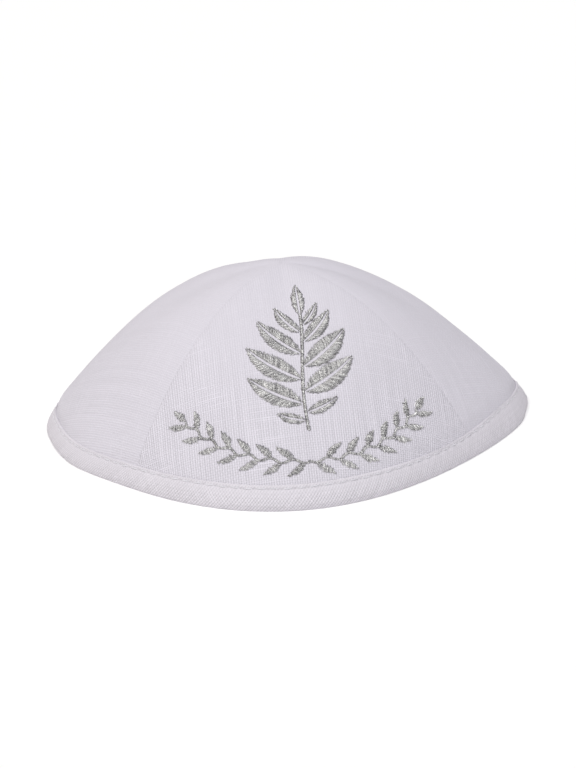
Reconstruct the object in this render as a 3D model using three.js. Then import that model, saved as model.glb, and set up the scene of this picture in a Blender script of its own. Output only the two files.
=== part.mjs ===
// A white linen skullcap: four gored panels sewn together at the crown, and a bias
// binding that is folded over the rim. Millimetres, +Z up, X across the cap, -Y its
// front. The origin is the middle of the rim, on the plane that the cap rests on.
import * as THREE from 'three';

// Size of the outer surface
const HALF_WIDTH = 88;
const HALF_DEPTH = 86;
const CROWN_HEIGHT = 58.5;

// Shape of the rim seen from above: how far the front and back close in towards each end
const CLOSE_IN_LEFT = 0.27;
const CLOSE_IN_RIGHT = 0.42;

// Shape of the panels: the power by which they fall from the crown to the rim
const FALL_LEFT = 1.83;
const FALL_RIGHT = 1.71;
const FALL_FRONT = 1.63;
const FALL_SEAM_MORE = 0.38;
// How much fuller the panels are than a plain fall, and how late they turn down
const FULLNESS = 0.048;
const RIM_TURN = 11;

// Cloth
const PANEL_WALL = 1.2;
const GAP = 0.3;
const CROWN_HOLE_RADIUS = 0.6;

// Binding: an outer leaf, a fold under the rim and an inner leaf. It stands proud of
// the cloth by one gap, and pinches the panels inwards over a short run above it.
const BINDING_WALL = 1.0;
const BINDING_HEIGHT = 7.3;
const FOLD_HEIGHT = 1.3;
const PINCH_DEPTH = BINDING_WALL;
const PINCH_RUN = 3.6;

// Facets
const COLUMNS = 17;
const DOME_ROWS = 11;
const PINCH_ROWS = 4;
const TUCKED_ROWS = 1;
const BINDING_ROWS = 2;

// Each panel runs between two seams, in degrees round the cap from +X, counted on past 360
const PANELS = [
  { name: 'panel_front', from: 230.7, to: 315.8, color: 0xe9e7ee },
  { name: 'panel_right', from: 315.8, to: 404.2, color: 0xe3e1e9 },
  { name: 'panel_back', from: 404.2, to: 489.3, color: 0xe9e7ee },
  { name: 'panel_left', from: 489.3, to: 590.7, color: 0xe3e1e9 },
];

const mix = (a, b, share) => a + (b - a) * share;
const smooth = (share) => share * share * (3 - 2 * share);

// The power of the fall in one direction
function fallAt(angle) {
  const across = Math.cos(angle);
  const fallSide = across < 0 ? FALL_LEFT : FALL_RIGHT;
  const seamShare = Math.sin(2 * angle) ** 2;
  return mix(FALL_FRONT, fallSide, across * across) + FALL_SEAM_MORE * seamShare;
}

// A point of the outer surface. reach is 0 at the crown and 1 at the rim.
function outerPoint(angle, reach) {
  const across = Math.cos(angle);
  const along = Math.sin(angle);
  const closeIn = across < 0 ? CLOSE_IN_LEFT : CLOSE_IN_RIGHT;
  const spread = ((1 + FULLNESS) * reach) / (1 + FULLNESS * reach ** RIM_TURN);
  return new THREE.Vector3(
    HALF_WIDTH * across * spread,
    HALF_DEPTH * along * (1 - closeIn * across * across) * spread,
    CROWN_HEIGHT * (1 - reach ** fallAt(angle)),
  );
}

// The outward normal of the outer surface
function outerNormal(angle, reach) {
  const turn = 1e-4;
  const step = Math.min(1e-4, reach / 2);
  const round = outerPoint(angle + turn, reach).sub(outerPoint(angle - turn, reach));
  const down = outerPoint(angle, reach + step).sub(outerPoint(angle, reach - step));
  return down.cross(round).normalize();
}

// The reach at which the outer surface is at this height
function reachAtHeight(angle, height) {
  return (1 - height / CROWN_HEIGHT) ** (1 / fallAt(angle));
}

// A point of the cloth, this deep under the outer surface. levelShare is 0 where the
// wall is measured square to the surface and 1 where its rows stay level, as at the rim.
function clothPoint(angle, reach, depth, levelShare) {
  const normal = outerNormal(angle, reach);
  const direction = normal.clone();
  direction.z *= 1 - levelShare;
  direction.normalize();
  return outerPoint(angle, reach).addScaledVector(direction, -depth / direction.dot(normal));
}

// How much of the pinch the cloth has at this height: all of it inside the binding
function pinchShareAt(height) {
  const share = (height - BINDING_HEIGHT - GAP) / PINCH_RUN;
  return 1 - smooth(THREE.MathUtils.clamp(share, 0, 1));
}

// The rows of a panel as reaches: even over the dome, then by height down to the fold
function panelRows(angle) {
  const pinchStart = BINDING_HEIGHT + GAP;
  const domeEnd = reachAtHeight(angle, pinchStart + PINCH_RUN);
  const start = CROWN_HOLE_RADIUS / outerPoint(angle, 1).setZ(0).length();
  const rows = [];
  for (let i = 0; i < DOME_ROWS; i += 1) {
    rows.push(mix(start, domeEnd, i / DOME_ROWS));
  }
  for (let i = 0; i < PINCH_ROWS; i += 1) {
    rows.push(reachAtHeight(angle, pinchStart + PINCH_RUN * (1 - i / PINCH_ROWS)));
  }
  for (let i = 0; i <= TUCKED_ROWS; i += 1) {
    rows.push(reachAtHeight(angle, mix(pinchStart, FOLD_HEIGHT + GAP, i / TUCKED_ROWS)));
  }
  return rows;
}

// Angles across a panel, in radians, from seam to seam
function panelAngles(panel) {
  return Array.from({ length: COLUMNS + 1 }, (_, column) =>
    THREE.MathUtils.degToRad(mix(panel.from, panel.to, column / COLUMNS)));
}

function indexedGeometry(positions, faces) {
  const geometry = new THREE.BufferGeometry();
  geometry.setAttribute('position', new THREE.Float32BufferAttribute(positions, 3));
  geometry.setIndex(faces);
  geometry.computeVertexNormals();
  return geometry;
}

// A closed wall between two grids of points of the same size, the outer and the inner
function wallGeometry(outer, inner) {
  const rows = outer.length;
  const columns = outer[0].length;
  const positions = [...outer, ...inner].flat().flatMap((point) => point.toArray());
  const faces = [];
  const at = (side, row, column) => (side * rows + row) * columns + column;
  const quad = (a, b, c, d) => {
    faces.push(a, b, c, a, c, d);
  };
  const lastRow = rows - 1;
  const lastColumn = columns - 1;
  for (let r = 0; r < lastRow; r += 1) {
    for (let c = 0; c < lastColumn; c += 1) {
      quad(at(0, r, c), at(0, r + 1, c), at(0, r + 1, c + 1), at(0, r, c + 1));
      quad(at(1, r, c), at(1, r, c + 1), at(1, r + 1, c + 1), at(1, r + 1, c));
    }
    quad(at(0, r, 0), at(1, r, 0), at(1, r + 1, 0), at(0, r + 1, 0));
    quad(at(0, r, lastColumn), at(0, r + 1, lastColumn), at(1, r + 1, lastColumn), at(1, r, lastColumn));
  }
  for (let c = 0; c < lastColumn; c += 1) {
    quad(at(0, 0, c), at(0, 0, c + 1), at(1, 0, c + 1), at(1, 0, c));
    quad(at(0, lastRow, c), at(1, lastRow, c), at(1, lastRow, c + 1), at(0, lastRow, c + 1));
  }
  return indexedGeometry(positions, faces);
}

// A closed ring through sections, each a closed outline with the same number of points
function ringGeometry(sections) {
  const count = sections[0].length;
  const positions = sections.flat().flatMap((point) => point.toArray());
  const faces = [];
  sections.forEach((_, s) => {
    const here = s * count;
    const next = ((s + 1) % sections.length) * count;
    for (let i = 0; i < count; i += 1) {
      const j = (i + 1) % count;
      faces.push(here + i, next + i, next + j, here + i, next + j, here + j);
    }
  });
  return indexedGeometry(positions, faces);
}

// One gore of the crown. Its two edges stop half a gap short of the seams.
function panelGeometry(panel) {
  const angles = panelAngles(panel);
  const rowsByColumn = angles.map(panelRows);
  const wallAt = (row, depth) => angles.map((angle, column) => {
    const reach = rowsByColumn[column][row];
    const point = outerPoint(angle, reach);
    const inward = (column === 0 ? 1 : 0) - (column === COLUMNS ? 1 : 0);
    const shifted = angle + (inward * GAP) / 2 / Math.hypot(point.x, point.y);
    const share = pinchShareAt(point.z);
    return clothPoint(shifted, reach, PINCH_DEPTH * share + depth, share);
  });
  const rows = rowsByColumn[0].map((_, row) => row);
  return wallGeometry(rows.map((row) => wallAt(row, 0)), rows.map((row) => wallAt(row, PANEL_WALL)));
}

// The binding's section, from the outer leaf round under the fold to the inner leaf
function bindingGeometry() {
  const leafOut = PINCH_DEPTH - BINDING_WALL - GAP;
  const slotOut = leafOut + BINDING_WALL;
  const slotIn = PINCH_DEPTH + PANEL_WALL + GAP;
  const leafIn = slotIn + BINDING_WALL;
  const outline = [];
  const run = (depth, from, to) => {
    for (let i = 0; i <= BINDING_ROWS; i += 1) {
      outline.push({ depth, height: mix(from, to, i / BINDING_ROWS) });
    }
  };
  run(leafOut, 0, BINDING_HEIGHT);
  run(slotOut, BINDING_HEIGHT, FOLD_HEIGHT);
  run(slotIn, FOLD_HEIGHT, BINDING_HEIGHT);
  run(leafIn, BINDING_HEIGHT, 0);
  const angles = PANELS.flatMap((panel) => panelAngles(panel).slice(0, -1));
  return ringGeometry(angles.map((angle) =>
    outline.map(({ depth, height }) => clothPoint(angle, reachAtHeight(angle, height), depth, 1))));
}

// One sewn piece of the cap in its own linen
function sewnPiece(name, geometry, color) {
  const linen = new THREE.MeshStandardMaterial({ color, roughness: 0.9, metalness: 0 });
  const mesh = new THREE.Mesh(geometry, linen);
  mesh.name = name;
  return mesh;
}

const cap = new THREE.Group();

for (const panel of PANELS) {
  cap.add(sewnPiece(panel.name, panelGeometry(panel), panel.color));
}

cap.add(sewnPiece('rim_binding', bindingGeometry(), 0xe5e3ea));

export default cap;
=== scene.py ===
import math

import bmesh
import bpy
import numpy as np
from mathutils import Matrix, Vector


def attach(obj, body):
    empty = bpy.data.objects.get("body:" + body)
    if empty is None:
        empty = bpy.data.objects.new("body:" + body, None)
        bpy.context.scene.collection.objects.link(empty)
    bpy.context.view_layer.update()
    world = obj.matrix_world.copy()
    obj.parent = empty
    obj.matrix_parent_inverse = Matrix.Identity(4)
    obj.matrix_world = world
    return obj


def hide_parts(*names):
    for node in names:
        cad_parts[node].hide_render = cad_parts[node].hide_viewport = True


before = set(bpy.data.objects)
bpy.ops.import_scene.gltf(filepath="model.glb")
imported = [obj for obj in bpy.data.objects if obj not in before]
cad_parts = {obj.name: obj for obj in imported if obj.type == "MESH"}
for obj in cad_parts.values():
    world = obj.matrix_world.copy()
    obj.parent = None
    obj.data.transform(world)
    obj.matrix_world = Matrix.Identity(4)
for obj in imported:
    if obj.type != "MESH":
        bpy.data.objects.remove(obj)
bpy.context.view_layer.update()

MM = 0.001

# Outer surface of the cap, as in the solids
HALF_WIDTH = 88 * MM
HALF_DEPTH = 86 * MM
CROWN_HEIGHT = 58.5 * MM
CLOSE_IN_LEFT = 0.27
CLOSE_IN_RIGHT = 0.42
FALL_LEFT = 1.83
FALL_RIGHT = 1.71
FALL_FRONT = 1.63
FALL_SEAM_MORE = 0.38
FULLNESS = 0.048
RIM_TURN = 11

# Gores, in degrees round the cap from +X, and how far their grain is turned. The seam
# allowances are pressed away from the gores that roll over them.
PANELS = [
    {"name": "panel_front", "start": 230.7, "end": 315.8, "grain_turn": 0.0, "rolls_over": True},
    {"name": "panel_right", "start": 315.8, "end": 404.2, "grain_turn": 45.0, "rolls_over": False},
    {"name": "panel_back", "start": 404.2, "end": 489.3, "grain_turn": 0.0, "rolls_over": True},
    {"name": "panel_left", "start": 489.3, "end": 590.7, "grain_turn": 51.0, "rolls_over": False},
]
PANEL_COLUMNS = 156
PANEL_ROWS = 136
SEAM_CROWDING = 1.35
PINCH_ROWS_SHARE = 0.14
PANEL_WALL = 0.9 * MM
PANEL_EDGE_HEIGHT = 2.4 * MM

# Places where the limp cloth swells or sinks: degrees round, reach, spread of reach, rise
SWELLS = [
    {"angle": 62, "reach": 0.19, "spread": 0.12, "rise": 0.5 * MM},
    {"angle": 118, "reach": 0.22, "spread": 0.11, "rise": -0.7 * MM},
    {"angle": 95, "reach": 0.07, "spread": 0.09, "rise": 0.6 * MM},
    {"angle": 150, "reach": 0.56, "spread": 0.16, "rise": 0.5 * MM},
    {"angle": 25, "reach": 0.6, "spread": 0.14, "rise": 0.7 * MM},
    {"angle": 247, "reach": 0.62, "spread": 0.15, "rise": 0.25 * MM},
    {"angle": 300, "reach": 0.7, "spread": 0.12, "rise": -0.25 * MM},
    {"angle": 14, "reach": 0.8, "spread": 0.1, "rise": 0.3 * MM},
]
WAVE_RISE = 0.14 * MM

# Places where the limp rim stands out or is drawn in: degrees round, spread of degrees, rise
RIM_SWAYS = [
    {"angle": 190, "spread": 11, "rise": -1.0 * MM},
    {"angle": 211, "spread": 8, "rise": 0.7 * MM},
    {"angle": 229, "spread": 9, "rise": -0.3 * MM},
    {"angle": 256, "spread": 20, "rise": 0.8 * MM},
    {"angle": 352, "spread": 9, "rise": -1.1 * MM},
    {"angle": 13, "spread": 8, "rise": 0.5 * MM},
]
SWAY_FROM_REACH = 0.8

# Places where the binding leans out or in at its foot: degrees round, spread of degrees, rise
RIM_LEANS = [
    {"angle": 212, "spread": 20, "rise": 0.15 * MM},
    {"angle": 266, "spread": 28, "rise": -0.25 * MM},
    {"angle": 325, "spread": 22, "rise": 0.35 * MM},
]
LEAN_FROM_REACH = 0.925

# Places where the binding is folded wider than its least height
BINDING_RISES = [
    {"angle": 248, "spread": 20, "rise": 0.5 * MM},
    {"angle": 285, "spread": 18, "rise": 0.55 * MM},
    {"angle": 334, "spread": 18, "rise": 1.9 * MM},
]

# Places where the gores bulge over the binding
RIM_BULGES = [
    {"angle": 174, "spread": 18, "rise": 0.25 * MM},
    {"angle": 5, "spread": 18, "rise": 0.3 * MM},
]
BULGE_FROM = 2.5 * MM
BULGE_TO = 9 * MM

# Sewn seams
SEAM_GROOVE = 0.05 * MM
SEAM_GROOVE_WIDTH = 0.6 * MM
# Painted shade along the seam groove
SEAM_SHADE = 0.03
SEAM_ROLL_RISE = 0.07 * MM
SEAM_ROLL_AT = 1.5 * MM
SEAM_ROLL_WIDTH = 1.2 * MM
ALLOWANCE_WIDTH = 9.0 * MM
ALLOWANCE_RISE = 0.07 * MM
ALLOWANCE_EDGE = 1.3 * MM
SEAM_STITCH = 2.5 * MM
SEAM_PUCKER = 0.04 * MM
SEAM_FADES_FROM = 0.28
SEAM_GONE_BY = 0.03

# Folded binding: an outer leaf, a fold under the rim and an inner leaf
LEAF = 0.38 * MM
BINDING_PROUD = 0.1 * MM
BINDING_HEIGHT = 7.3 * MM
BINDING_SLOT = 1.0 * MM
FOLD_HEIGHT = 1.3 * MM
FOOT_ROUND = 0.9 * MM
FOOT_RISE = 2.4 * MM
SHOULDER = 0.8 * MM
PINCH_DEPTH = 0.29 * MM
PINCH_RUN = 5.0 * MM
PINCH_RUN_AT_ENDS = 3.4 * MM
# Painted shade on the gores just above the binding's fold, and how high it reaches
PINCH_SHADE = 0.05
PINCH_SHADE_HEIGHT = 0.4 * MM
BINDING_COLUMNS = 760

# Outer leaf of the binding: its belly, its drift in and out along the rim, its slack between the
# stitches, and the slanting join of the strip's two ends with its lap
RELIEF_FROM_FOOT = 1.2 * MM
BELLY_RISE = 0.16 * MM
DRIFTS = [
    {"rise": 0.08 * MM, "turns": 47, "start": 1.0},
    {"rise": 0.07 * MM, "turns": 131, "start": 2.0},
]
SLACK_RISE = 0.06 * MM
SLACK_SLANT = 900
SLACK_FADE = 3 * MM
JOIN_ANGLE = math.radians(80)
JOIN_DEPTH = 0.3 * MM
JOIN_WIDTH = 0.45 * MM
# Painted shade in the groove of the join
JOIN_SHADE = 0.3
LAP_RISE = 0.12 * MM
LAP_AT = 2.5 * MM
LAP_WIDTH = 2.0 * MM

# Topstitching of the binding
TOPSTITCH_PITCH = 4.7 * MM
TOPSTITCH_DROP = 0.95 * MM
TOPSTITCH_RADIUS = 0.19 * MM
TOPSTITCH_PULL = 0.06 * MM
TOPSTITCH_PULL_HEIGHT = 0.5 * MM
TOPSTITCH_PAD = 0.02 * MM
TOPSTITCH_STRAY = 0.06 * MM
TOPSTITCH_HALF_GAP = 0.13
STITCH_HOLE = 0.12 * MM
STITCH_HOLE_SHARE = 0.19
STITCH_HOLE_HEIGHT = 0.22 * MM
# Painted shade in the stitch holes, at the front and at the ends of the cap
STITCH_HOLE_SHADE = 0.6
STITCH_HOLE_SHADE_AT_ENDS = 0.2
THREAD_TWIST = 0.7 * MM
# Painted shade in the grooves between the sewing thread's plies, and the thread's own colour on them
THREAD_DARK = (0.66, 0.65, 0.69, 1)
THREAD_LIGHT = (0.82, 0.81, 0.86, 1)

# Thread of every stitch: how thick it is at its ends next to its middle, how deep its ends sink, how
# high its middle rises and how flat it lies, in shares of its radius, and how uneven the pads are
THREAD_END_GIRTH = 0.55
THREAD_END_SINKS = 0.8
THREAD_RISES = 1.3
THREAD_FLATNESS = 0.85
PAD_UNEVENNESS = 0.15

# Linen: its weave is fully crisp, 1, at the foot of the front gore, and softer towards the crown, on
# the gores that hang on the bias, on the binding away from the front, and along the binding's fold. How
# crisp it is sets the strength of the weave's painted shade and light, its tone and its bump.
THREAD_PITCH = 0.84 * MM
CRISP_AT_CROWN = 0.25
CRISP_RISES_FROM = 0.35
CRISP_BY_REACH = 0.85
CRISP_ON_BIAS = 0.38
CRISP_ON_BINDING = 0.65
CRISP_ON_FRONT_BINDING = 1.25
SMOOTH_ALONG_FOLD = 0.6
SMOOTH_DOWN_TO = 1.5 * MM
CRISP_BELOW = 5 * MM
BINDING_THREAD_PITCH = 0.8 * MM
BIAS = -45.0
BINDING_SLUBS = 0.4
WARP_HEIGHT = 0.72
WEFT_HEIGHT = 0.5
CROSSING_RISE = 0.28
WARP_SLUB_RISE = 0.5
WEFT_SLUB_RISE = 0.6
# Painted shade in the gaps between threads and painted light on their raised tops, round a mean tone
LINEN_SHADE = 0.87
GAP_SHADE = -0.175
THREAD_SHADE = 0.165
# How much the painted shade of seams, folds, stitch holes and joins darkens the cloth's colour
HOLLOW_SHADE = -0.4
PANEL_TINT = (0.793, 0.765, 0.84, 1)
BINDING_TINT = (0.82, 0.787, 0.85, 1)

# Silver embroidery
EMBROIDERY_THREAD = 0.23 * MM
STITCH_SPACING = 0.44 * MM
STITCH_PAD = 0.2 * MM
LEAF_STITCH_SLANT = 0.6
LINE_STITCH_SLANT = 0.35
EDGE_JITTER = 0.18 * MM
LEAST_HALF_WIDTH = 0.34 * MM
VEIN = 0.22 * MM
FOIL_PITCH = 0.5 * MM
FLECK_SCALE = 1750
FLECK_SHARE = 0.73
# The colour's flecks run from painted shade to painted glints
SILVER_DARK = (0.33, 0.325, 0.335, 1)
SILVER_LIGHT = (0.88, 0.875, 0.865, 1)

# Sprig: feet of its leaves as heights on the stem in mm, with length, width and tilt from the stem
SPRIG_AT = (2 * MM, -50 * MM)
STEM_FOOT = -29
STEM_TOP = 19
STEM_SWAY = 1.3
STEM_WAVE = 12
STEM_WIDTH = 1.5 * MM
LEAF_FOOT_OUT = 0.7 * MM
SPRIG_CURL = 0.22
SPRIG_LEAVES = [
    {"side": -1, "foot": -25, "length": 9.5, "width": 4.2, "tilt": 82},
    {"side": 1, "foot": -22, "length": 12, "width": 4.9, "tilt": 76},
    {"side": -1, "foot": -18.5, "length": 21, "width": 8.8, "tilt": 68},
    {"side": 1, "foot": -14, "length": 23, "width": 9.6, "tilt": 65},
    {"side": -1, "foot": -9, "length": 22.5, "width": 9.4, "tilt": 62},
    {"side": 1, "foot": -4, "length": 22.5, "width": 9.2, "tilt": 58},
    {"side": -1, "foot": 1.5, "length": 20, "width": 8.2, "tilt": 54},
    {"side": 1, "foot": 6.5, "length": 17, "width": 6.6, "tilt": 50},
    {"side": -1, "foot": 10.5, "length": 14, "width": 5.4, "tilt": 45},
    {"side": 1, "foot": 14, "length": 11, "width": 4.3, "tilt": 44},
]
SPRIG_TIP = {"foot": 18.5, "length": 15, "width": 5.2}

# Garland: a vine that waves along an arc below the sprig, from its middle to both ends, with
# leaves on both sides
GARLAND_AT = (0.5 * MM, -41 * MM)
GARLAND_RADIUS = 49 * MM
GARLAND_HALF_ANGLE = math.radians(58)
GARLAND_SWAY = 0.7 * MM
VINE_WIDTH = 1.1 * MM
GARLAND_CURL = 0.2
GARLAND_LEAVES = 13
GARLAND_LEAF = {"length": 7.2 * MM, "width": 3.0 * MM, "tilt": 47}

# Camera, from the photograph
CAMERA_ELEVATION = math.radians(21.0)
CAMERA_TURN = math.radians(1.49)
CAMERA_ROLL = math.radians(2.66)
CAMERA_DISTANCE = 0.9
PIXELS_PER_METRE = 2765
PHOTO_HEIGHT = 768
ORIGIN_BELOW_MIDDLE = 34.0

# Light: a broad lamp overhead, a little to the front left, in a dim room that is warmer at the
# left and darker at the right, and a small lamp at the right that glints in the silver
KEY_TOWARD = (-0.115, -0.253, 0.8)
KEY_STRENGTH = 2.66
KEY_SPREAD = math.radians(70)
ROOM_STRENGTH = 0.21
ROOM_LEFT = (1.0, 0.82, 0.63, 1)
ROOM_MIDDLE = (1.0, 1.0, 1.0, 1)
ROOM_RIGHT = (0.62, 0.6, 0.66, 1)
GLINT_TOWARD = (0.45, 0.22, 0.87)
GLINT_STRENGTH = 0.08
GLINT_SPREAD = math.radians(6)
FLOOR_GLOW = 0.08


def smooth_step(low, high, value):
    share = np.clip((value - low) / (high - low), 0, 1)
    return share * share * (3 - 2 * share)


def bump_at(value, middle, width):
    """A smooth bump that is 1 at its middle."""
    return np.exp(-(((value - middle) / width) ** 2))


def fall_at(angle):
    across = np.cos(angle)
    fall_side = np.where(across < 0, FALL_LEFT, FALL_RIGHT)
    return FALL_FRONT + (fall_side - FALL_FRONT) * across**2 + FALL_SEAM_MORE * np.sin(2 * angle) ** 2


def outer_point(angle, reach):
    """A point of the cap's outer surface. reach is 0 at the crown and 1 at the rim."""
    across, along = np.cos(angle), np.sin(angle)
    close_in = np.where(across < 0, CLOSE_IN_LEFT, CLOSE_IN_RIGHT)
    spread = (1 + FULLNESS) * reach / (1 + FULLNESS * reach**RIM_TURN)
    x = HALF_WIDTH * across * spread
    y = HALF_DEPTH * along * (1 - close_in * across**2) * spread
    z = CROWN_HEIGHT * (1 - reach ** fall_at(angle))
    return np.stack([x, y, z], axis=-1)


def unit(vectors):
    return vectors / np.linalg.norm(vectors, axis=-1, keepdims=True)


def outer_normal(angle, reach):
    turn, step = 1e-4, 1e-4
    reach = np.maximum(reach, 2 * step)
    around = outer_point(angle + turn, reach) - outer_point(angle - turn, reach)
    down = outer_point(angle, reach + step) - outer_point(angle, reach - step)
    return unit(np.cross(down, around))


def reach_at_height(angle, height):
    return (1 - height / CROWN_HEIGHT) ** (1 / fall_at(angle))


def cloth_point(angle, reach, depth, level):
    """A point this deep under the outer surface, square to it, or level where level is 1."""
    normal = outer_normal(angle, reach)
    direction = normal.copy()
    direction[..., 2] *= 1 - level
    direction = unit(direction)
    lean = np.sum(direction * normal, axis=-1)
    return outer_point(angle, reach) - direction * (depth / lean)[..., None]


def running_length(points):
    """Length along a row of points, from its first one."""
    steps = np.linalg.norm(np.diff(points, axis=0), axis=-1)
    return np.concatenate([np.zeros((1,) + steps.shape[1:]), np.cumsum(steps, axis=0)])


def new_piece(name, mesh):
    piece = bpy.data.objects.new(name, mesh)
    bpy.context.scene.collection.objects.link(piece)
    mesh.polygons.foreach_set("use_smooth", [True] * len(mesh.polygons))
    return piece


def merge_doubles(piece, distance=1e-7):
    shape = bmesh.new()
    shape.from_mesh(piece.data)
    bmesh.ops.remove_doubles(shape, verts=shape.verts, dist=distance)
    shape.to_mesh(piece.data)
    shape.free()


def lay_pattern(mesh, pattern):
    """Gives each point its place on the flat cloth, as a UV map."""
    corner = np.empty(len(mesh.loops), np.int32)
    mesh.loops.foreach_get("vertex_index", corner)
    uv = mesh.uv_layers.new(name="cloth")
    uv.data.foreach_set("uv", pattern[corner].astype(np.float32).ravel())


def mark_points(mesh, name, values):
    mesh.attributes.new(name, "FLOAT", "POINT").data.foreach_set("value", values.astype(np.float32).ravel())


def cloth_grid(name, columns, rows, place):
    """A grid that place() lays on the cap. It gives the points by column and row, their flat pattern,
    and two shares: how much painted shade each has, in seams, folds, stitch holes and joins, and how crisp
    its weave is."""
    shape = bmesh.new()
    bmesh.ops.create_grid(shape, x_segments=columns, y_segments=rows, size=0.5)
    mesh = bpy.data.meshes.new(name)
    shape.to_mesh(mesh)
    shape.free()
    flat = np.empty(len(mesh.vertices) * 3, np.float32)
    mesh.vertices.foreach_get("co", flat)
    flat = flat.reshape(-1, 3)
    column = np.rint((flat[:, 0] + 0.5) * columns).astype(int)
    row = np.rint((0.5 - flat[:, 1]) * rows).astype(int)
    points, pattern, painted_shade, crisp = place(np.arange(columns + 1) / columns, np.arange(rows + 1) / rows)
    mesh.vertices.foreach_set("co", points[column, row].astype(np.float32).ravel())
    lay_pattern(mesh, pattern[column, row])
    mark_points(mesh, "painted_shade", painted_shade[column, row])
    mark_points(mesh, "crisp", crisp[column, row])
    return new_piece(name, mesh)


# Gores

def seam_distance(panel, angle, reach):
    """How far a point of a gore is from its nearer seam."""
    start, end = math.radians(panel["start"]), math.radians(panel["end"])
    radius = np.linalg.norm(outer_point(angle, reach)[..., :2], axis=-1)
    return np.minimum(angle - start, end - angle) * radius


def limp_cloth(angle, reach):
    """Rise of the soft swells and waves of limp cloth."""
    rise = WAVE_RISE * np.sin(3 * angle + 5 * reach) * np.sin(9 * reach + 1.3 * np.sin(2 * angle)) * reach
    for swell in SWELLS:
        middle = math.radians(swell["angle"])
        apart_x = reach * np.cos(angle) - swell["reach"] * math.cos(middle)
        apart_y = reach * np.sin(angle) - swell["reach"] * math.sin(middle)
        rise = rise + swell["rise"] * bump_at(np.hypot(apart_x, apart_y), 0, swell["spread"])
    return rise


def round_the_rim(places, angle):
    """The rise of a list of places round the rim, each a smooth bump, at this angle."""
    rise = np.zeros_like(angle)
    for place in places:
        apart = (np.degrees(angle) - place["angle"] + 180) % 360 - 180
        rise = rise + place["rise"] * bump_at(apart, 0, place["spread"])
    return rise


def binding_rise(angle):
    return round_the_rim(BINDING_RISES, angle)


def rim_sway(angle, reach):
    """How far the limp rim and its leaning binding stand out, fading upwards."""
    sway = round_the_rim(RIM_SWAYS, angle) * smooth_step(SWAY_FROM_REACH, 1, reach)
    lean = round_the_rim(RIM_LEANS, angle) * np.clip((reach - LEAN_FROM_REACH) / (1 - LEAN_FROM_REACH), 0, 1)
    return sway + lean


def panel_relief(panel, angle, reach):
    """How far a gore stands out of the outer surface, how level its rows are, and its painted shade in the
    seam groove and just above the binding's fold.
    """
    distance = seam_distance(panel, angle, reach)
    fade = smooth_step(SEAM_GONE_BY, SEAM_FADES_FROM, reach)
    groove = bump_at(distance, 0, SEAM_GROOVE_WIDTH) * fade
    relief = limp_cloth(angle, reach) - SEAM_GROOVE * groove
    if panel["rolls_over"]:
        relief = relief + SEAM_ROLL_RISE * bump_at(distance, SEAM_ROLL_AT, SEAM_ROLL_WIDTH) * fade
    else:
        inner = smooth_step(0, SEAM_ROLL_AT, distance)
        outer = smooth_step(ALLOWANCE_WIDTH - ALLOWANCE_EDGE, ALLOWANCE_WIDTH + ALLOWANCE_EDGE, distance)
        relief = relief + ALLOWANCE_RISE * inner * (1 - outer) * fade
    along = reach * (HALF_WIDTH + CROWN_HEIGHT / 3)
    pucker = np.sin(2 * math.pi * along / SEAM_STITCH + 2 * np.sin(reach * 40))
    relief = relief + SEAM_PUCKER * pucker * bump_at(distance, SEAM_ROLL_AT / 2, SEAM_ROLL_WIDTH) * fade
    above_binding = outer_point(angle, reach)[..., 2] - BINDING_HEIGHT - binding_rise(angle)
    run = PINCH_RUN_AT_ENDS + (PINCH_RUN - PINCH_RUN_AT_ENDS) * np.sin(angle) ** 2
    pinch = 1 - smooth_step(0, run, above_binding)
    bulge = round_the_rim(RIM_BULGES, angle) * smooth_step(0, BULGE_FROM, above_binding)
    bulge = bulge * (1 - smooth_step(BULGE_FROM, BULGE_TO, above_binding))
    # Where painted shade falls just above the binding's fold, strongest at the front and back
    fold_shade = bump_at(np.maximum(above_binding, 0), 0, PINCH_SHADE_HEIGHT) * np.sin(angle) ** 2
    # Painted shade along the seam groove and just above the binding's fold
    painted_shade = np.maximum(SEAM_SHADE * groove, PINCH_SHADE * fold_shade)
    relief = relief - (relief + PINCH_DEPTH) * pinch + bulge + rim_sway(angle, reach)
    return relief, pinch, painted_shade


def flat_pattern(points, grain_turn=0.0):
    """Where each point of a gore lies on the flat cloth, with the crown at the middle and the grain
    along V."""
    middle = points.shape[0] // 2
    along = running_length(points.transpose(1, 0, 2)).T
    across = running_length(points)
    across = across - across[middle]
    turn = across[:, 1:] / along[:, 1:]
    turn = np.concatenate([turn[:, :1], turn], axis=1) + math.radians(grain_turn)
    return np.stack([along * np.sin(turn), -along * np.cos(turn)], axis=-1)


def panel_place(panel):
    def place(across, down):
        spread = np.sign(across - 0.5) * (1 - (1 - np.abs(2 * across - 1)) ** SEAM_CROWDING)
        middle = math.radians(panel["start"] + panel["end"]) / 2
        half = math.radians(panel["end"] - panel["start"]) / 2
        angle = (middle + half * spread)[:, None] + np.zeros_like(down)[None, :]
        dome_end = reach_at_height(angle, BINDING_HEIGHT + binding_rise(angle) + PINCH_RUN)
        edge = reach_at_height(angle, PANEL_EDGE_HEIGHT)
        dome_share = 1 - PINCH_ROWS_SHARE
        in_dome = dome_end * down / dome_share
        in_pinch = dome_end + (edge - dome_end) * (down - dome_share) / PINCH_ROWS_SHARE
        reach = np.where(down < dome_share, in_dome, in_pinch)
        relief, level, painted_shade = panel_relief(panel, angle, reach)
        points = cloth_point(angle, reach, -relief, level)
        points[:, 0] = points[:, 0].mean(axis=0)
        crisp_share = smooth_step(CRISP_RISES_FROM, CRISP_BY_REACH, reach)
        crisp = CRISP_AT_CROWN + (1 - CRISP_AT_CROWN) * crisp_share
        if panel["grain_turn"]:
            crisp = CRISP_ON_BIAS * crisp
        return points, flat_pattern(outer_point(angle, reach), panel["grain_turn"]), painted_shade, crisp

    return place


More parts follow.
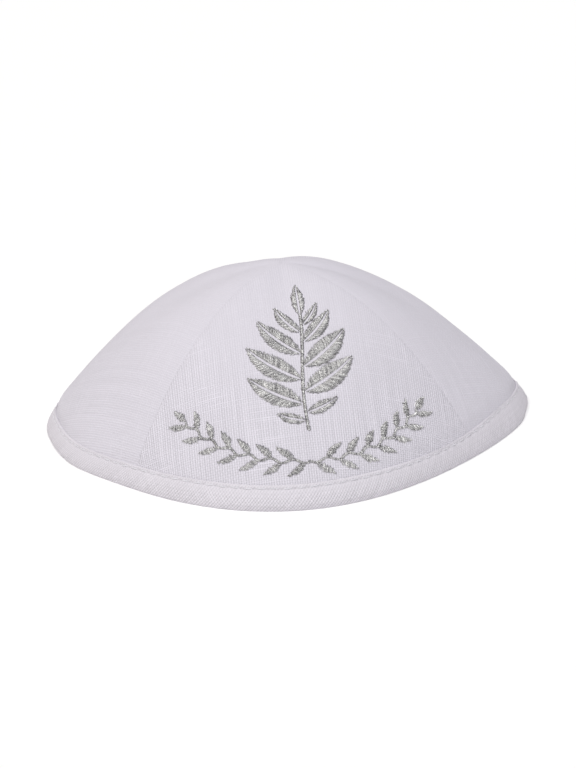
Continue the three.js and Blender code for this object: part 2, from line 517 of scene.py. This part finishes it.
def panel_cut(panel):
    """Width, length and area of a gore between its seam lines, cut out flat."""
    angle = np.radians(np.linspace(panel["start"], panel["end"], 81))
    flat = flat_pattern(outer_point(angle[:, None], np.linspace(0, 1, 81)[None, :]))
    width, length = np.ptp(flat[..., 0]), np.ptp(flat[..., 1])
    first, second = flat[1:, 1:] - flat[:-1, :-1], flat[1:, :-1] - flat[:-1, 1:]
    area = np.abs(first[..., 0] * second[..., 1] - first[..., 1] * second[..., 0]).sum() / 2
    return float(width), float(length), float(area)


def build_panels():
    cloth = linen("panel_linen", THREAD_PITCH, 0.0, PANEL_TINT)
    for panel in PANELS:
        piece = cloth_grid(panel["name"] + "_linen", PANEL_COLUMNS, PANEL_ROWS, panel_place(panel))
        merge_doubles(piece)
        wall = piece.modifiers.new("wall", "SOLIDIFY")
        wall.thickness = PANEL_WALL
        wall.offset = -1
        paint(piece, cloth)
        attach(piece, "root")
        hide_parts(panel["name"])
        width, length, area = panel_cut(panel)


# Binding

def rim_table():
    """Angles round the rim and the length along it, for what repeats round the binding."""
    angle = np.linspace(0, 2 * math.pi, 1441)
    return angle, running_length(outer_point(angle, np.ones_like(angle)))


RIM_ANGLE, RIM_RUN = rim_table()
RIM_LENGTH = RIM_RUN[-1]
TOPSTITCHES = round(RIM_LENGTH / TOPSTITCH_PITCH)
STITCH_LINE = BINDING_HEIGHT - TOPSTITCH_DROP


def binding_relief(run, height):
    """How far the outer leaf stands out: the pull of the topstitches, the belly of the leaf, the slack
    between stitches, and the slanting join of the strip's two ends; and its painted shade in the stitch
    holes and in the join."""
    angle = np.interp(run, RIM_RUN, RIM_ANGLE)
    line = STITCH_LINE + binding_rise(angle)
    phase = run / RIM_LENGTH * TOPSTITCHES
    near_line = bump_at(height, line, TOPSTITCH_PULL_HEIGHT)
    hole = bump_at(phase - np.rint(phase), 0, STITCH_HOLE_SHARE)
    # Painted shade at the stitch holes along the stitch line
    dark = hole * bump_at(height, line, STITCH_HOLE_HEIGHT)
    below = smooth_step(0, SLACK_FADE, line - height)
    slack = SLACK_RISE * np.cos(2 * math.pi * phase + SLACK_SLANT * (height - line)) * below
    belly = BELLY_RISE * np.sin(math.pi * np.clip(height / line, 0, 1))
    drift = sum(part["rise"] * np.sin(run * part["turns"] + part["start"]) for part in DRIFTS)
    join_run = np.interp(JOIN_ANGLE, RIM_ANGLE, RIM_RUN)
    past_join = run - join_run - (height - BINDING_HEIGHT / 2)
    join = bump_at(past_join, 0, JOIN_WIDTH)
    lap = LAP_RISE * bump_at(past_join, LAP_AT, LAP_WIDTH)
    pull = (TOPSTITCH_PULL + STITCH_HOLE * hole) * near_line
    lift = belly + slack + drift + lap - pull - JOIN_DEPTH * join
    # Painted shade of the holes, darkest at the front, and painted shade in the join
    more_shade = STITCH_HOLE_SHADE - STITCH_HOLE_SHADE_AT_ENDS
    shade = STITCH_HOLE_SHADE_AT_ENDS + more_shade * np.sin(angle) ** 2
    return lift, np.clip(shade * dark + JOIN_SHADE * join, 0, 1)


def binding_section(face_rows=18, round_rows=5, inner_rows=5):
    """The binding's closed section as depth and height, from the foot up the outer leaf, over its fold,
    round the slot for the gores and down the inner leaf."""
    out = -BINDING_PROUD
    slot_out = out + LEAF
    slot_in = slot_out + BINDING_SLOT
    inside = slot_in + LEAF
    top = BINDING_HEIGHT - SHOULDER
    points = []

    def arc(depth, height, half_width, half_height, start, end, count):
        for i in range(count + 1):
            angle = math.radians(start + (end - start) * i / count)
            points.append((depth - half_width * math.cos(angle), height + half_height * math.sin(angle)))

    arc(out + FOOT_ROUND, FOOT_RISE, FOOT_ROUND, FOOT_RISE, -90, 0, 2 * round_rows)
    for i in range(1, face_rows):
        points.append((out, FOOT_RISE + (top - FOOT_RISE) * i / face_rows))
    arc(out + LEAF / 2, top, LEAF / 2, SHOULDER, 0, 180, 3 * round_rows)
    points.append((slot_out, FOLD_HEIGHT))
    points.append((slot_in, FOLD_HEIGHT))
    arc(slot_in + LEAF / 2, top, LEAF / 2, SHOULDER, 0, 180, 2 * round_rows)
    for i in range(1, inner_rows):
        points.append((inside, top + (FOOT_RISE - top) * i / inner_rows))
    arc(inside - FOOT_ROUND, FOOT_RISE, FOOT_ROUND, FOOT_RISE, 180, 270, round_rows)
    return np.array(points + points[:1])


def binding_place(section):
    def place(across, down):
        run = (across * RIM_LENGTH)[:, None] + np.zeros_like(down)[None, :]
        angle = np.interp(run, RIM_RUN, RIM_ANGLE)
        depth = section[None, ::-1, 0] + np.zeros_like(run)
        height = section[None, ::-1, 1] + np.zeros_like(run)
        upper_share = np.clip((height - FOOT_RISE) / (BINDING_HEIGHT - SHOULDER - FOOT_RISE), 0, 1)
        height = height + upper_share * binding_rise(angle)
        lift, painted_shade = binding_relief(run, height)
        face = 1 - smooth_step(0, LEAF / 2, depth + BINDING_PROUD)
        reach = reach_at_height(angle, height)
        lift = lift * face * smooth_step(0, RELIEF_FROM_FOOT, height) + rim_sway(angle, reach)
        points = cloth_point(angle, reach, depth - lift, np.ones_like(angle))
        width = running_length(section[::-1])[None, :] + np.zeros_like(run)
        front = np.clip(-np.sin(angle), 0, 1) ** 2
        crisp = CRISP_ON_BINDING + (CRISP_ON_FRONT_BINDING - CRISP_ON_BINDING) * front
        below_fold = BINDING_HEIGHT + binding_rise(angle) - height
        pressed = 1 - smooth_step(SMOOTH_DOWN_TO, CRISP_BELOW, below_fold)
        crisp = crisp * (1 - SMOOTH_ALONG_FOLD * pressed)
        return points, np.stack([run, width], axis=-1), painted_shade * face, crisp

    return place


def build_binding():
    section = binding_section()
    piece = cloth_grid("rim_binding_linen", BINDING_COLUMNS, len(section) - 1, binding_place(section))
    merge_doubles(piece, 1e-6)
    paint(piece, linen("binding_linen", BINDING_THREAD_PITCH, BIAS, BINDING_TINT, BINDING_SLUBS))
    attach(piece, "root")
    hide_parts("rim_binding")


# Stitches

def thread_form(rings, sides):
    """One thread, as points across, up and along from 0 to 1, and its faces."""
    shape = bmesh.new()
    bmesh.ops.create_cone(shape, cap_ends=True, segments=sides, radius1=1, radius2=1, depth=1)
    long_edges = [e for e in shape.edges if abs(e.verts[0].co.z - e.verts[1].co.z) > 0.5]
    bmesh.ops.subdivide_edges(shape, edges=long_edges, cuts=rings - 2, use_grid_fill=True)
    shape.verts.index_update()
    points = np.array([v.co for v in shape.verts])
    faces = [[v.index for v in f.verts] for f in shape.faces]
    shape.free()
    points[:, 2] += 0.5
    return points, faces


def stitch(draw, start, end, pad):
    """A stitch between two points of the flat cloth, with a random tone and a slightly uneven pad."""
    uneven_pad = pad * (1 + draw.normal(0, PAD_UNEVENNESS))
    return {"start": tuple(start), "end": tuple(end), "pad": uneven_pad, "tone": draw.random()}


def thread_points(stitches, form, place, radius):
    """The points of each stitch's thread, which bows over its pad, and the length of each stitch.
    place() puts points of the flat cloth on the cap, with their normals."""
    along = form[:, 2]
    starts = np.array([s["start"] for s in stitches])
    ends = np.array([s["end"] for s in stitches])
    pads = np.array([s["pad"] for s in stitches])
    flat = starts[:, None, :] + (ends - starts)[:, None, :] * along[None, :, None]
    centre, normal = place(flat.reshape(-1, 2))
    centre = centre.reshape(len(stitches), len(form), 3)
    normal = normal.reshape(centre.shape)
    reach = place(ends)[0] - place(starts)[0]
    heading = unit(reach)[:, None, :] + np.zeros_like(centre)
    side = unit(np.cross(heading, normal))
    bow = np.sin(math.pi * np.clip(along, 0.0, 1.0)) ** 0.5
    girth = radius * (THREAD_END_GIRTH + (1 - THREAD_END_GIRTH) * bow)
    lift = (pads[:, None] + THREAD_RISES * radius) * bow[None, :] - THREAD_END_SINKS * radius
    points = centre + normal * (lift + THREAD_FLATNESS * form[None, :, 1] * girth)[..., None]
    points = points + side * (form[None, :, 0] * girth)[..., None]
    return points, np.linalg.norm(reach, axis=-1)


def stitch_piece(name, stitches, place, radius, rings=6, sides=6):
    """Many stitches as one mesh, with the tone of each stitch's thread."""
    form, faces = thread_form(rings, sides)
    points, lengths = thread_points(stitches, form, place, radius)
    mesh = bpy.data.meshes.new(name)
    firsts = range(0, len(stitches) * len(form), len(form))
    all_faces = [[i + first for i in face] for first in firsts for face in faces]
    mesh.from_pydata(points.reshape(-1, 3).tolist(), [], all_faces)
    run = lengths[:, None] * form[None, :, 2]
    around = np.arctan2(form[:, 1], form[:, 0])[None, :] / (2 * math.pi) + np.zeros_like(run)
    lay_pattern(mesh, np.stack([run, around], axis=-1).reshape(-1, 2))
    mark_points(mesh, "tone", np.repeat([s["tone"] for s in stitches], len(form)))
    piece = new_piece(name, mesh)
    shape = bmesh.new()
    shape.from_mesh(mesh)
    bmesh.ops.recalc_face_normals(shape, faces=shape.faces)
    shape.to_mesh(mesh)
    shape.free()
    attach(piece, "root")
    return piece


def outer_leaf(flat):
    """A point of the outer leaf, by its run along the rim and its height from the stitch line."""
    run = np.mod(flat[:, 0], RIM_LENGTH)
    angle = np.interp(run, RIM_RUN, RIM_ANGLE)
    height = STITCH_LINE + binding_rise(angle) + flat[:, 1]
    reach = reach_at_height(angle, height)
    lift = binding_relief(run, height)[0] + rim_sway(angle, reach)
    return cloth_point(angle, reach, -BINDING_PROUD - lift, np.ones_like(angle)), outer_normal(angle, reach)


def inner_leaf(flat):
    """A point of the inner leaf, found as on the outer one."""
    angle = np.interp(np.mod(flat[:, 0], RIM_LENGTH), RIM_RUN, RIM_ANGLE)
    reach = reach_at_height(angle, STITCH_LINE + binding_rise(angle) + flat[:, 1])
    depth = 2 * LEAF + BINDING_SLOT - BINDING_PROUD - rim_sway(angle, reach)
    return cloth_point(angle, reach, depth, np.ones_like(angle)), -outer_normal(angle, reach)


def build_topstitching():
    pitch = RIM_LENGTH / TOPSTITCHES
    thread = sewing_thread()
    draw = np.random.default_rng(11)
    for name, place in (("rim_topstitching", outer_leaf), ("rim_topstitching_inside", inner_leaf)):
        stitches = []
        for i in range(TOPSTITCHES):
            first, last = draw.normal(0, TOPSTITCH_STRAY, 2)
            start = (pitch * (i + TOPSTITCH_HALF_GAP), first)
            end = (pitch * (i + 1 - TOPSTITCH_HALF_GAP), last)
            stitches.append(stitch(draw, start, end, TOPSTITCH_PAD))
        piece = stitch_piece(name, stitches, place, TOPSTITCH_RADIUS, rings=8, sides=8)
        paint(piece, thread)


# Embroidery on the front gore

class FrontCloth:
    """The place on the front gore of a point of its flat pattern, by bearing and distance from the crown."""

    COUNT = 181
    NEAREST = 6 * MM

    def __init__(self):
        panel = PANELS[0]
        angle = np.radians(np.linspace(panel["start"], panel["end"], self.COUNT))
        reach = np.linspace(0, 1, self.COUNT)
        flat = flat_pattern(outer_point(angle[:, None], reach[None, :]))
        distance = np.hypot(flat[..., 0], flat[..., 1])
        bearing = np.arctan2(flat[..., 0], -flat[..., 1])
        self.distance = np.linspace(self.NEAREST, distance[:, -1].min(), self.COUNT)
        self.bearing = np.linspace(bearing[0, -1], bearing[-1, -1], self.COUNT)
        reach_by_angle = np.array([np.interp(self.distance, row, reach) for row in distance])
        pairs = zip(distance, bearing)
        bearing_by_angle = np.array([np.interp(self.distance, row, bearings) for row, bearings in pairs])
        self.angle_table = self.by_bearing(bearing_by_angle, np.tile(angle[:, None], (1, self.COUNT)))
        self.reach_table = self.by_bearing(bearing_by_angle, reach_by_angle)

    def by_bearing(self, bearing, values):
        return np.array([np.interp(self.bearing, b, v) for b, v in zip(bearing.T, values.T)])

    def look_up(self, table, distance, bearing):
        row = (distance - self.distance[0]) / (self.distance[-1] - self.distance[0]) * (self.COUNT - 1)
        column = (bearing - self.bearing[0]) / (self.bearing[-1] - self.bearing[0]) * (self.COUNT - 1)
        r = np.clip(row.astype(int), 0, self.COUNT - 2)
        c = np.clip(column.astype(int), 0, self.COUNT - 2)
        down, right = row - r, column - c
        near = table[r, c] * (1 - right) + table[r, c + 1] * right
        far = table[r + 1, c] * (1 - right) + table[r + 1, c + 1] * right
        return near * (1 - down) + far * down

    def place(self, flat):
        distance = np.hypot(flat[:, 0], flat[:, 1])
        bearing = np.arctan2(flat[:, 0], -flat[:, 1])
        angle = self.look_up(self.angle_table, distance, bearing)
        reach = self.look_up(self.reach_table, distance, bearing)
        relief, level, _ = panel_relief(PANELS[0], angle, reach)
        return cloth_point(angle, reach, -relief, level), outer_normal(angle, reach)


def turned(point, degrees):
    angle = math.radians(degrees)
    x, y = point
    return np.array([x * math.cos(angle) - y * math.sin(angle), x * math.sin(angle) + y * math.cos(angle)])


def leaf_half_width(share, width):
    """Half a leaf's width at a share of its length: round at the foot and pointed at the tip."""
    inside = min(max(share, 0.0), 1.0)
    return width / 2 * abs(math.sin(math.pi * inside**0.85)) ** 0.8


def satin_leaf(draw, foot, heading, length, width, curl=0.0, vein=VEIN):
    """A leaf in satin stitch, laid from its vein to each edge, or right across where vein is None.
    heading is in degrees from +X, and curl bends the leaf."""
    foot = np.array(foot)

    def rib(share):
        return foot + turned((length * share, length * curl * share**2), heading)

    def square(share):
        ahead = unit(rib(share + 0.01) - rib(share - 0.01))
        return np.array([-ahead[1], ahead[0]])

    def edge(share, side):
        half = max(leaf_half_width(share, width), LEAST_HALF_WIDTH) + draw.normal(0, EDGE_JITTER)
        return rib(share) + square(share) * side * half

    stitches = []
    count = max(4, round(length / STITCH_SPACING))
    for i in range(count):
        share = (i + 0.5) / count
        ahead_share = min(share + LEAF_STITCH_SLANT * leaf_half_width(share, width) / length, 0.99)
        if vein is None:
            stitches.append(stitch(draw, edge(share, 1), edge(ahead_share, -1), STITCH_PAD))
            continue
        for side in (-1, 1):
            inner = rib(share) + square(share) * side * vein
            stitches.append(stitch(draw, inner, edge(ahead_share, side), STITCH_PAD))
    return stitches


def satin_line(draw, path, width):
    """A narrow column of stitches laid across a path, which is a function of 0 to 1."""
    shares = np.linspace(0, 1, 200)
    run = running_length(np.array([path(t) for t in shares]))
    count = round(run[-1] / STITCH_SPACING)
    stitches = []
    for i in range(count):
        t = np.interp((i + 0.5) / count * run[-1], run, shares)
        ahead = unit(path(min(t + 0.004, 1.0)) - path(max(t - 0.004, 0.0)))
        across = np.array([-ahead[1], ahead[0]]) + LINE_STITCH_SLANT * ahead
        half = width / 2 + draw.normal(0, EDGE_JITTER / 2)
        stitches.append(stitch(draw, path(t) - across * half, path(t) + across * half, STITCH_PAD))
    return stitches


def stem_point(height):
    """A point of the sprig's stem, at this height in mm."""
    return np.array(SPRIG_AT) + np.array([STEM_SWAY * math.sin(height / STEM_WAVE), height]) * MM


def sprig_stitches(draw):
    def stem(share):
        return stem_point(STEM_FOOT + (STEM_TOP - STEM_FOOT) * share)

    stitches = satin_line(draw, stem, STEM_WIDTH)
    for leaf in SPRIG_LEAVES:
        foot = stem_point(leaf["foot"]) + np.array([leaf["side"] * LEAF_FOOT_OUT, 0])
        heading = 90 - leaf["side"] * leaf["tilt"]
        size = leaf["length"] * MM, leaf["width"] * MM
        stitches += satin_leaf(draw, foot, heading, *size, curl=leaf["side"] * SPRIG_CURL)
    tip = SPRIG_TIP
    stitches += satin_leaf(draw, stem_point(tip["foot"]), 90, tip["length"] * MM, tip["width"] * MM)
    return stitches


def vine_point(share, side):
    """A point of the garland's vine, from its middle to its end on one side. It sways out to each leaf."""
    angle = side * GARLAND_HALF_ANGLE * share - math.pi / 2
    radius = GARLAND_RADIUS + GARLAND_SWAY * math.sin(math.pi * GARLAND_LEAVES * share)
    return np.array(GARLAND_AT) + radius * np.array([math.cos(angle), math.sin(angle)])


def garland_stitches(draw):
    leaf = GARLAND_LEAF
    stitches = []
    for side in (-1, 1):
        stitches += satin_line(draw, lambda t, side=side: vine_point(t, side), VINE_WIDTH)
        for i in range(GARLAND_LEAVES + 1):
            share = (i + 0.5) / GARLAND_LEAVES if i < GARLAND_LEAVES else 1.0
            ahead = math.degrees(side * GARLAND_HALF_ANGLE * share) + (0 if side > 0 else 180)
            turn = 0 if i == GARLAND_LEAVES else side * leaf["tilt"] * (1 if i % 2 else -1)
            size = leaf["length"], leaf["width"]
            curl = -GARLAND_CURL * np.sign(turn)
            stitches += satin_leaf(draw, vine_point(share, side), ahead + turn, *size, curl=curl, vein=None)
    return stitches


def build_embroidery():
    cloth = FrontCloth()
    silver = silver_thread()
    draw = np.random.default_rng(5)
    for name, stitches in (("embroidered_sprig", sprig_stitches), ("embroidered_garland", garland_stitches)):
        piece = stitch_piece(name, stitches(draw), cloth.place, EMBROIDERY_THREAD)
        paint(piece, silver)


# Materials

class Nodes:
    """A small helper for wiring a material's nodes."""

    def __init__(self, name):
        self.material = bpy.data.materials.new(name)
        self.material.use_nodes = True
        self.tree = self.material.node_tree
        self.shader = self.tree.nodes["Principled BSDF"]

    def add(self, kind, **settings):
        node = self.tree.nodes.new(kind)
        for key, value in settings.items():
            setattr(node, key, value)
        return node

    def link(self, source, target):
        if isinstance(source, (int, float, tuple)):
            target.default_value = source
        else:
            self.tree.links.new(source, target)

    def math(self, operation, *values):
        node = self.add("ShaderNodeMath", operation=operation)
        for socket, value in zip(node.inputs, values):
            self.link(value, socket)
        return node.outputs[0]

    def cloth(self, turn=0.0):
        """Places on the flat cloth, turned by this many degrees, as a vector."""
        node = self.add("ShaderNodeVectorRotate", rotation_type="Z_AXIS")
        self.link(self.add("ShaderNodeUVMap", uv_map="cloth").outputs[0], node.inputs["Vector"])
        node.inputs["Angle"].default_value = math.radians(turn)
        return node.outputs[0]

    def attribute(self, name):
        return self.add("ShaderNodeAttribute", attribute_name=name).outputs["Fac"]

    def noise(self, vector, scale, detail=1.0, roughness=0.5):
        """Noise on a vector, whose scale is one number or one for each axis."""
        node = self.add("ShaderNodeTexNoise")
        if isinstance(scale, tuple):
            stretch = self.add("ShaderNodeVectorMath", operation="MULTIPLY")
            self.link(vector, stretch.inputs[0])
            stretch.inputs[1].default_value = scale
            vector, scale = stretch.outputs[0], 1.0
        self.link(vector, node.inputs["Vector"])
        node.inputs["Scale"].default_value = scale
        node.inputs["Detail"].default_value = detail
        node.inputs["Roughness"].default_value = roughness
        return node.outputs["Fac"]

    def ramp(self, value, low, high, out_low=0.0, out_high=1.0):
        node = self.add("ShaderNodeMapRange", clamp=True)
        for socket, item in zip(node.inputs, (value, low, high, out_low, out_high)):
            self.link(item, socket)
        return node.outputs[0]

    def mix(self, factor, first, second):
        node = self.add("ShaderNodeMix", data_type="RGBA")
        self.link(factor, node.inputs["Factor"])
        self.link(first, node.inputs["A"])
        self.link(second, node.inputs["B"])
        return node.outputs["Result"]

    def bump(self, height, distance, strength=1.0):
        node = self.add("ShaderNodeBump")
        node.inputs["Distance"].default_value = distance
        node.inputs["Strength"].default_value = strength
        self.link(height, node.inputs["Height"])
        return node.outputs[0]


def linen(name, pitch, turn, tint, slubs=1.0):
    """Plain-weave linen on the piece's own flat pattern: threads with slubs, painted shade in the gaps
    between them and painted light on their raised tops, and a soft unevenness of tone. The warp stands a
    little higher than the weft."""
    n = Nodes(name)
    cloth = n.cloth(turn)
    split = n.add("ShaderNodeSeparateXYZ")
    n.link(cloth, split.inputs[0])
    across = n.math("MULTIPLY_ADD", n.noise(cloth, (90, 25, 1)), 1.1 * pitch, split.outputs[0])
    along = n.math("MULTIPLY_ADD", n.noise(cloth, (25, 90, 1)), 1.1 * pitch, split.outputs[1])
    warp = n.math("SINE", n.math("MULTIPLY", across, math.pi / pitch))
    weft = n.math("SINE", n.math("MULTIPLY", along, math.pi / pitch))
    over = n.math("MULTIPLY", warp, weft)
    warp_slub = n.ramp(n.noise(cloth, (1 / pitch, 55, 1)), 0.53, 0.72)
    weft_slub = n.ramp(n.noise(cloth, (45, 1 / pitch, 1)), 0.55, 0.72)
    warp_round = n.math("POWER", n.math("ABSOLUTE", warp), 0.8)
    weft_round = n.math("POWER", n.math("ABSOLUTE", weft), 0.8)
    warp_level = n.math("MULTIPLY_ADD", over, CROSSING_RISE, WARP_HEIGHT)
    warp_level = n.math("MULTIPLY_ADD", warp_slub, WARP_SLUB_RISE * slubs, warp_level)
    weft_level = n.math("MULTIPLY_ADD", over, -CROSSING_RISE, WEFT_HEIGHT)
    weft_level = n.math("MULTIPLY_ADD", weft_slub, WEFT_SLUB_RISE * slubs, weft_level)
    warp_form = n.math("MULTIPLY", warp_round, warp_level)
    weft_form = n.math("MULTIPLY", weft_round, weft_level)
    height = n.math("SMOOTH_MAX", warp_form, weft_form, 0.15)
    fibre = n.noise(cloth, (6000, 1500, 1), 2.0, 0.6)
    tone = n.noise(cloth, 30, 3.0)
    thread_tone = n.noise(cloth, (1 / pitch, 20, 1), 0.0)
    crisp = n.attribute("crisp")
    # Painted shade in the gaps between threads and painted light on their raised tops, as strong as the
    # weave is crisp
    shade = n.math("MULTIPLY_ADD", n.ramp(height, 0.2, 1.0, GAP_SHADE, THREAD_SHADE), crisp, LINEN_SHADE)
    streak = n.math("SUBTRACT", n.noise(cloth, (0.3 / pitch, 14, 1), 1.0), 0.5)
    thread_tone = n.math("SUBTRACT", thread_tone, 0.5)
    for factor in (
        n.math("MULTIPLY_ADD", tone, 0.05, 0.975),
        n.math("MULTIPLY_ADD", streak, n.ramp(crisp, 0, 1, 0.02, 0.065), 1.0),
        n.math("MULTIPLY_ADD", thread_tone, n.math("MULTIPLY", crisp, 0.16), 1.0),
        n.math("MULTIPLY_ADD", fibre, 0.08, 0.96),
        # Painted shade of seams, folds, stitch holes and joins, darkening the cloth's colour
        n.math("MULTIPLY_ADD", n.attribute("painted_shade"), HOLLOW_SHADE, 1.0),
    ):
        shade = n.math("MULTIPLY", shade, factor)
    n.link(n.mix(shade, (0.0, 0.0, 0.0, 1), tint), n.shader.inputs["Base Color"])
    n.link(n.ramp(height, 0.0, 1.0, 0.95, 0.82), n.shader.inputs["Roughness"])
    relief = n.math("MULTIPLY", n.math("MULTIPLY_ADD", fibre, 0.12, height), n.ramp(crisp, 0, 1, 0.3, 1))
    n.link(n.bump(relief, 0.18 * MM), n.shader.inputs["Normal"])
    n.shader.inputs["Specular IOR Level"].default_value = 0.25
    n.shader.inputs["Sheen Weight"].default_value = 0.08
    n.shader.inputs["Sheen Roughness"].default_value = 0.5
    return n.material


def silver_thread():
    """Metal foil wound round a core: fine flecks that flash or go dark, partly by their bump and roughness
    and partly as painted glints and painted shade in the colour, and some stitches darker.
    """
    n = Nodes("silver_thread")
    cloth = n.cloth()
    split = n.add("ShaderNodeSeparateXYZ")
    n.link(cloth, split.inputs[0])
    wound = n.math("MULTIPLY_ADD", split.outputs[0], 1 / FOIL_PITCH, split.outputs[1])
    wound = n.math("SINE", n.math("MULTIPLY", wound, 2 * math.pi))
    fleck = n.noise(n.add("ShaderNodeTexCoord").outputs["Object"], FLECK_SCALE, 2.0, 0.6)
    bright = n.math("MULTIPLY", fleck, FLECK_SHARE)
    bright = n.math("MULTIPLY_ADD", n.attribute("tone"), 1 - FLECK_SHARE, bright)
    # Painted glints and painted shade: the flecks lighten and darken the metal's colour
    n.link(n.mix(n.ramp(bright, 0.3, 0.7), SILVER_DARK, SILVER_LIGHT), n.shader.inputs["Base Color"])
    n.link(n.ramp(fleck, 0.3, 0.7, 0.2, 0.38), n.shader.inputs["Roughness"])
    relief = n.math("MULTIPLY_ADD", fleck, 1.5, n.math("MULTIPLY", wound, 0.6))
    n.link(n.bump(relief, 0.06 * MM), n.shader.inputs["Normal"])
    n.shader.inputs["Metallic"].default_value = 1.0
    return n.material


def sewing_thread():
    """Twisted white polyester, with painted shade in the grooves between its plies."""
    n = Nodes("white_sewing_thread")
    split = n.add("ShaderNodeSeparateXYZ")
    n.link(n.cloth(), split.inputs[0])
    ply = n.math("MULTIPLY", split.outputs[1], 2)
    ply = n.math("MULTIPLY_ADD", split.outputs[0], 1 / THREAD_TWIST, ply)
    ply = n.math("ABSOLUTE", n.math("SINE", n.math("MULTIPLY", ply, math.pi)))
    # Painted shade in the grooves between the plies
    n.link(n.mix(n.ramp(ply, 0, 0.5), THREAD_DARK, THREAD_LIGHT), n.shader.inputs["Base Color"])
    n.link(n.bump(ply, 0.08 * MM), n.shader.inputs["Normal"])
    n.shader.inputs["Roughness"].default_value = 0.55
    n.shader.inputs["Sheen Weight"].default_value = 0.2
    return n.material


def paint(piece, material):
    piece.data.materials.clear()
    piece.data.materials.append(material)


# Stage, light and camera

def build_floor():
    shape = bmesh.new()
    bmesh.ops.create_grid(shape, x_segments=1, y_segments=1, size=6)
    mesh = bpy.data.meshes.new("floor")
    shape.to_mesh(mesh)
    shape.free()
    floor = bpy.data.objects.new("floor", mesh)
    bpy.context.scene.collection.objects.link(floor)
    n = Nodes("floor_white")
    n.shader.inputs["Base Color"].default_value = (0.93, 0.93, 0.93, 1)
    n.shader.inputs["Roughness"].default_value = 0.9
    n.shader.inputs["Specular IOR Level"].default_value = 0.1
    n.shader.inputs["Emission Color"].default_value = (1, 1, 1, 1)
    n.shader.inputs["Emission Strength"].default_value = FLOOR_GLOW
    paint(floor, n.material)


def build_lamp(name, toward, strength, spread):
    light = bpy.data.lights.new(name, "SUN")
    light.energy = strength
    light.angle = spread
    lamp = bpy.data.objects.new(name, light)
    lamp.location = Vector(toward)
    lamp.rotation_euler = (-Vector(toward)).to_track_quat("-Z", "Y").to_euler()
    bpy.context.scene.collection.objects.link(lamp)


def build_light():
    world = bpy.data.worlds.new("studio")
    bpy.context.scene.world = world
    world.use_nodes = True
    nodes, links = world.node_tree.nodes, world.node_tree.links
    split = nodes.new("ShaderNodeSeparateXYZ")
    links.new(nodes.new("ShaderNodeTexCoord").outputs["Generated"], split.inputs[0])
    share = nodes.new("ShaderNodeMapRange")
    share.inputs["From Min"].default_value = -1.0
    links.new(split.outputs["X"], share.inputs["Value"])
    tint = nodes.new("ShaderNodeValToRGB")
    left, right = tint.color_ramp.elements
    left.color, right.color = ROOM_LEFT, ROOM_RIGHT
    tint.color_ramp.elements.new(0.5).color = ROOM_MIDDLE
    links.new(share.outputs[0], tint.inputs[0])
    links.new(tint.outputs[0], nodes["Background"].inputs["Color"])
    nodes["Background"].inputs["Strength"].default_value = ROOM_STRENGTH
    build_lamp("key_light", KEY_TOWARD, KEY_STRENGTH, KEY_SPREAD)
    build_lamp("glint_light", GLINT_TOWARD, GLINT_STRENGTH, GLINT_SPREAD)


def build_camera():
    turn, lift, roll = CAMERA_TURN, CAMERA_ELEVATION, CAMERA_ROLL
    right = Vector((math.cos(turn), -math.sin(turn), 0))
    ahead = Vector((math.sin(turn), math.cos(turn), 0))
    back = Vector((0, 0, 1)) * math.sin(lift) - ahead * math.cos(lift)
    up = Vector((0, 0, 1)) * math.cos(lift) + ahead * math.sin(lift)
    place = back * CAMERA_DISTANCE
    right, up = right * math.cos(roll) - up * math.sin(roll), right * math.sin(roll) + up * math.cos(roll)
    focal_pixels = PIXELS_PER_METRE * CAMERA_DISTANCE
    tilt = math.atan(ORIGIN_BELOW_MIDDLE / focal_pixels)
    up, back = up * math.cos(tilt) + back * math.sin(tilt), back * math.cos(tilt) - up * math.sin(tilt)
    data = bpy.data.cameras.new("camera")
    data.sensor_width = 36
    data.lens = focal_pixels * data.sensor_width / PHOTO_HEIGHT
    camera = bpy.data.objects.new("camera", data)
    camera.matrix_world = Matrix.Translation(place) @ Matrix((right, up, back)).transposed().to_4x4()
    bpy.context.scene.collection.objects.link(camera)
    bpy.context.scene.camera = camera


build_panels()
build_binding()
build_topstitching()
build_embroidery()
build_floor()
build_light()
build_camera()
bpy.context.scene.view_settings.view_transform = "Standard"
